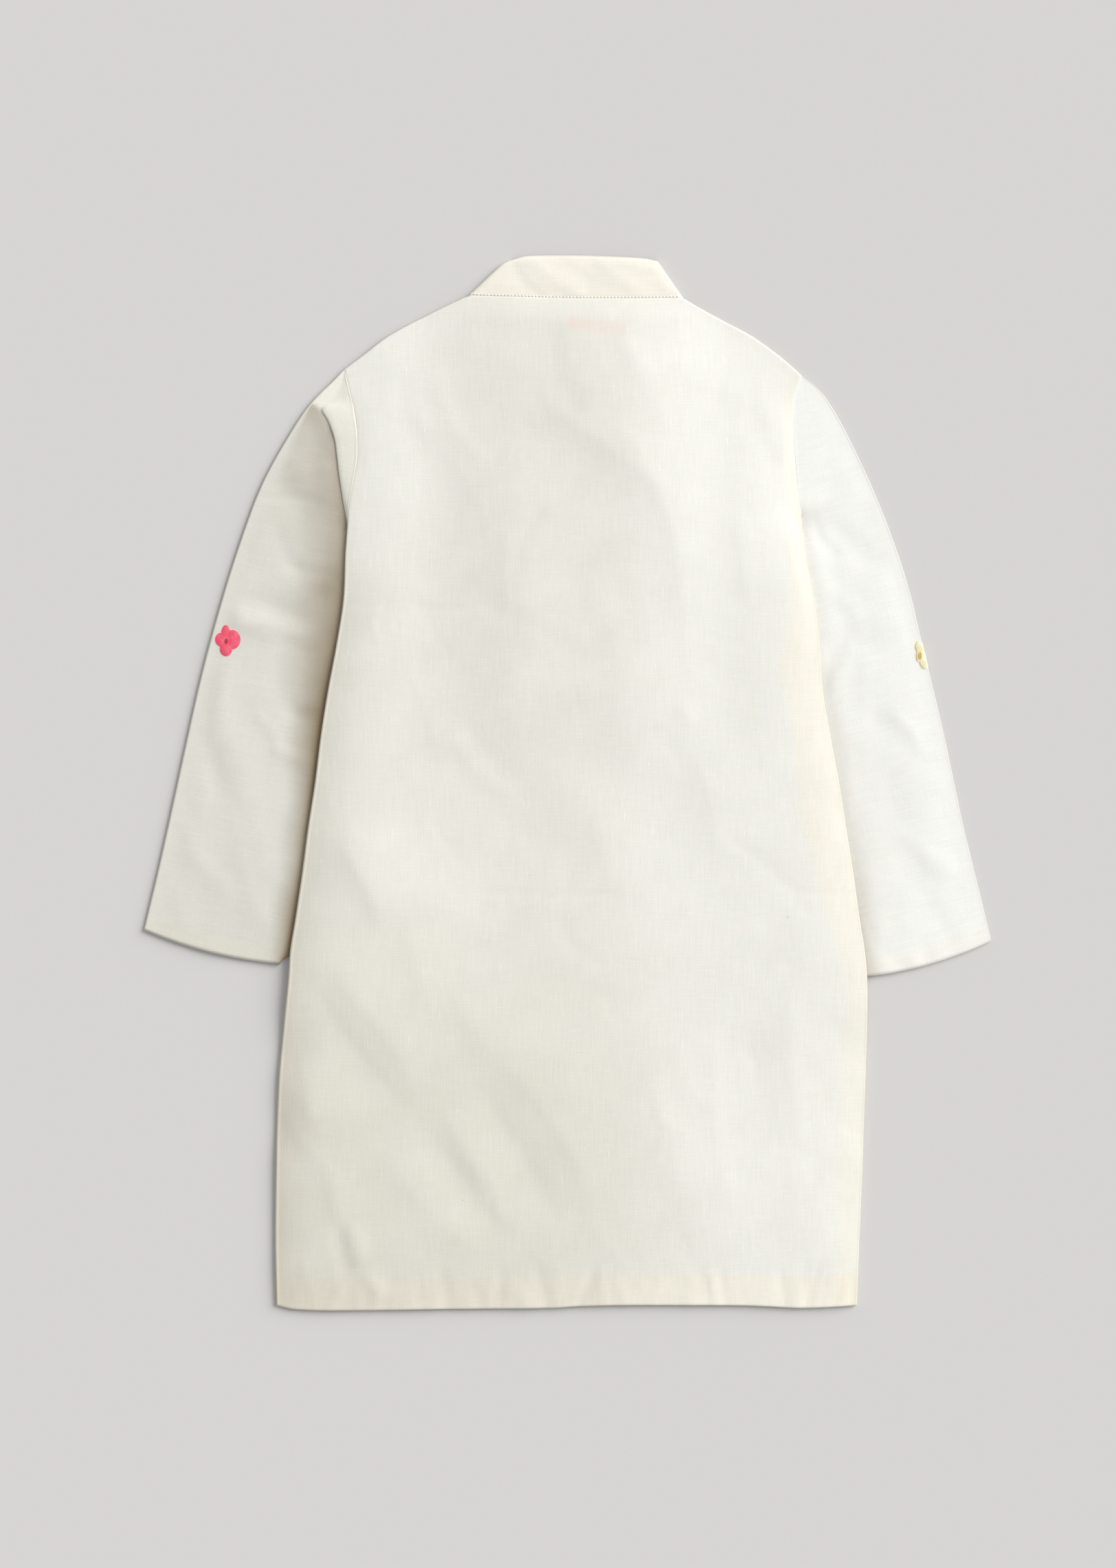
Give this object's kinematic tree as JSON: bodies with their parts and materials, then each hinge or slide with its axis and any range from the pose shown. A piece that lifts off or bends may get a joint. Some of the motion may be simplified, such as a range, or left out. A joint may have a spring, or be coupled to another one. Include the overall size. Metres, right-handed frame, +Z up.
{
  "type": "child's long-sleeved kurta laid flat",
  "caption": "Child's cream kurta laid flat with its back up: stand collar, long sleeves, side slits and a half placket underneath.",
  "frame": {"origin": "middle of the laid garment's box, on the surface it lies on", "axes": "X across the garment, +Y up to the collar, +Z up out of the garment's back"},
  "size_m": [0.555, 0.69, 0.0073],
  "materials": {
    "body_cloth": "slubby off-white cotton and linen, matt",
    "sleeve_cloth": "the same cloth, its slubs across the sleeve",
    "collar_cloth": "the same cloth doubled, so a little creamier",
    "label_tape": "plain pale pink tape, blank",
    "button_shell": "off-white shell button"
  },
  "bodies": {
    "root": {"back": "body_cloth", "front": "body_cloth", "sleeve_left": "sleeve_cloth", "sleeve_right": "sleeve_cloth", "collar": "collar_cloth", "placket_over": "collar_cloth", "placket_under": "collar_cloth", "neck_label": "label_tape", "button_1": "button_shell", "button_2": "button_shell", "button_3": "button_shell", "button_4": "button_shell"}
  },
  "joints": []
}
